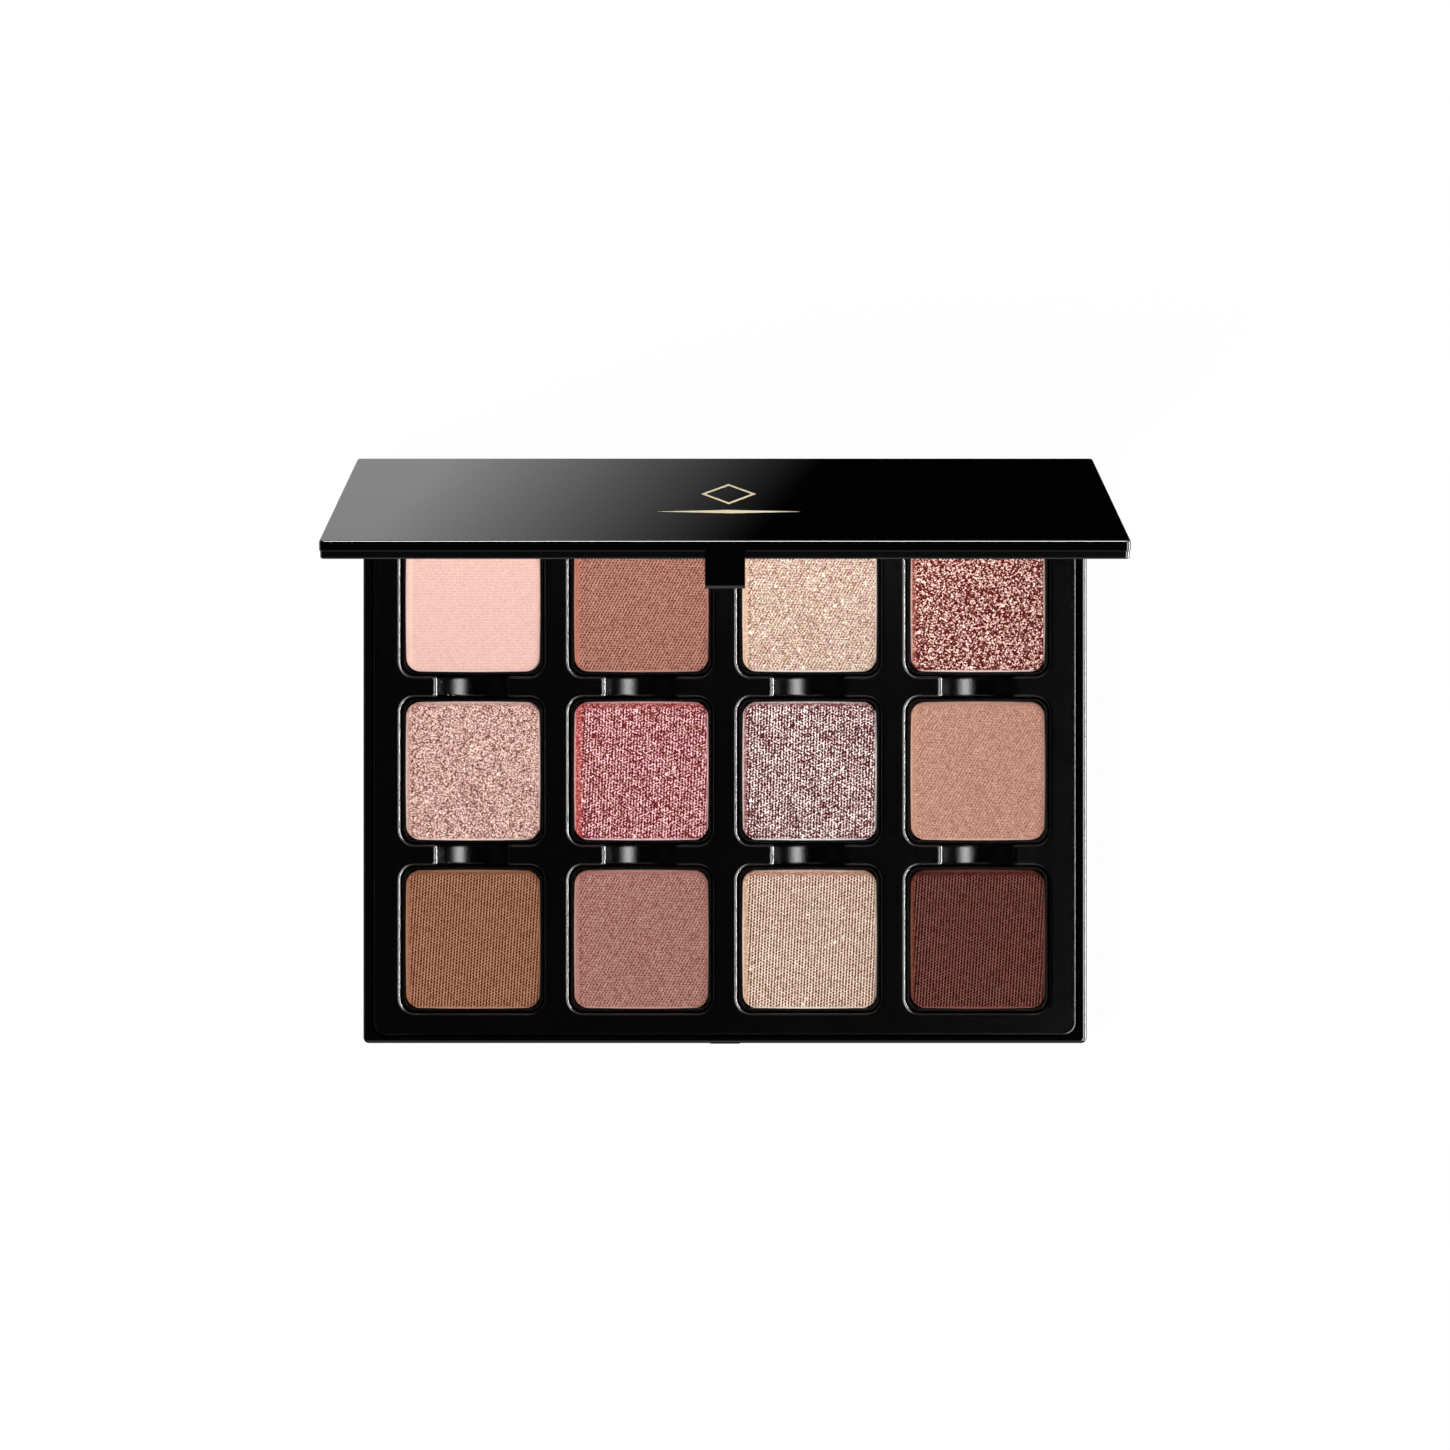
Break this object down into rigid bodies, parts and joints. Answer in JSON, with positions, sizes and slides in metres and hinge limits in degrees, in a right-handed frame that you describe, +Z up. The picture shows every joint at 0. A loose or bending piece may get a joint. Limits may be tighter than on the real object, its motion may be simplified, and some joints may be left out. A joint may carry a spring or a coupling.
{
  "type": "eyeshadow palette",
  "caption": "Slim hinged makeup palette: mirror lid with a thumb tab over square lift-out powder pans in a moulded tray with finger scoops.",
  "frame": {"origin": "middle of the case's underside", "axes": "+Z up out of the open case, +Y back towards the hinge, +X to the right seen from the front"},
  "size_m": [0.1068, 0.085, 0.087],
  "materials": {
    "case": "high gloss",
    "tray": "satin",
    "magnet": "bare",
    "pin": "bright",
    "lid_shell": "high gloss",
    "mirror_frame": "gloss",
    "tape": "matte",
    "mirror": "polished",
    "tin": "bright",
    "powder_a1": "pressed powder",
    "powder_a2": "pressed powder",
    "powder_a3": "pressed powder",
    "powder_a4": "pressed powder",
    "powder_b1": "pressed powder",
    "powder_b2": "pressed powder",
    "powder_b3": "pressed powder",
    "powder_b4": "pressed powder",
    "powder_c1": "pressed powder",
    "powder_c2": "pressed powder",
    "powder_c3": "pressed powder",
    "powder_c4": "pressed powder"
  },
  "bodies": {
    "case": {"case": "case", "tray": "tray", "pan_magnets": "magnet", "hinge_pin_left": "pin", "hinge_pin_right": "pin"},
    "lid": {"lid_shell": "lid_shell", "mirror_frame": "mirror_frame", "mirror_tape": "tape", "mirror_glass": "mirror"},
    "pan_a1": {"tin_a1": "tin", "powder_a1": "powder_a1"},
    "pan_a2": {"tin_a2": "tin", "powder_a2": "powder_a2"},
    "pan_a3": {"tin_a3": "tin", "powder_a3": "powder_a3"},
    "pan_a4": {"tin_a4": "tin", "powder_a4": "powder_a4"},
    "pan_b1": {"tin_b1": "tin", "powder_b1": "powder_b1"},
    "pan_b2": {"tin_b2": "tin", "powder_b2": "powder_b2"},
    "pan_b3": {"tin_b3": "tin", "powder_b3": "powder_b3"},
    "pan_b4": {"tin_b4": "tin", "powder_b4": "powder_b4"},
    "pan_c1": {"tin_c1": "tin", "powder_c1": "powder_c1"},
    "pan_c2": {"tin_c2": "tin", "powder_c2": "powder_c2"},
    "pan_c3": {"tin_c3": "tin", "powder_c3": "powder_c3"},
    "pan_c4": {"tin_c4": "tin", "powder_c4": "powder_c4"}
  },
  "joints": [
    {"name": "lid_hinge", "type": "hinge", "parent": "case", "child": "lid", "pos_m": [0, 0.0392, 0.0058], "axis": [-1, 0, 0], "range_deg": [-80, 40]},
    {"name": "pan_a1_lift", "type": "slide", "parent": "case", "child": "pan_a1", "axis": [0, 0, 1], "range_m": [0, 0.012]},
    {"name": "pan_a2_lift", "type": "slide", "parent": "case", "child": "pan_a2", "axis": [0, 0, 1], "range_m": [0, 0.012]},
    {"name": "pan_a3_lift", "type": "slide", "parent": "case", "child": "pan_a3", "axis": [0, 0, 1], "range_m": [0, 0.012]},
    {"name": "pan_a4_lift", "type": "slide", "parent": "case", "child": "pan_a4", "axis": [0, 0, 1], "range_m": [0, 0.012]},
    {"name": "pan_b1_lift", "type": "slide", "parent": "case", "child": "pan_b1", "axis": [0, 0, 1], "range_m": [0, 0.012]},
    {"name": "pan_b2_lift", "type": "slide", "parent": "case", "child": "pan_b2", "axis": [0, 0, 1], "range_m": [0, 0.012]},
    {"name": "pan_b3_lift", "type": "slide", "parent": "case", "child": "pan_b3", "axis": [0, 0, 1], "range_m": [0, 0.012]},
    {"name": "pan_b4_lift", "type": "slide", "parent": "case", "child": "pan_b4", "axis": [0, 0, 1], "range_m": [0, 0.012]},
    {"name": "pan_c1_lift", "type": "slide", "parent": "case", "child": "pan_c1", "axis": [0, 0, 1], "range_m": [0, 0.012]},
    {"name": "pan_c2_lift", "type": "slide", "parent": "case", "child": "pan_c2", "axis": [0, 0, 1], "range_m": [0, 0.012]},
    {"name": "pan_c3_lift", "type": "slide", "parent": "case", "child": "pan_c3", "axis": [0, 0, 1], "range_m": [0, 0.012]},
    {"name": "pan_c4_lift", "type": "slide", "parent": "case", "child": "pan_c4", "axis": [0, 0, 1], "range_m": [0, 0.012]}
  ]
}
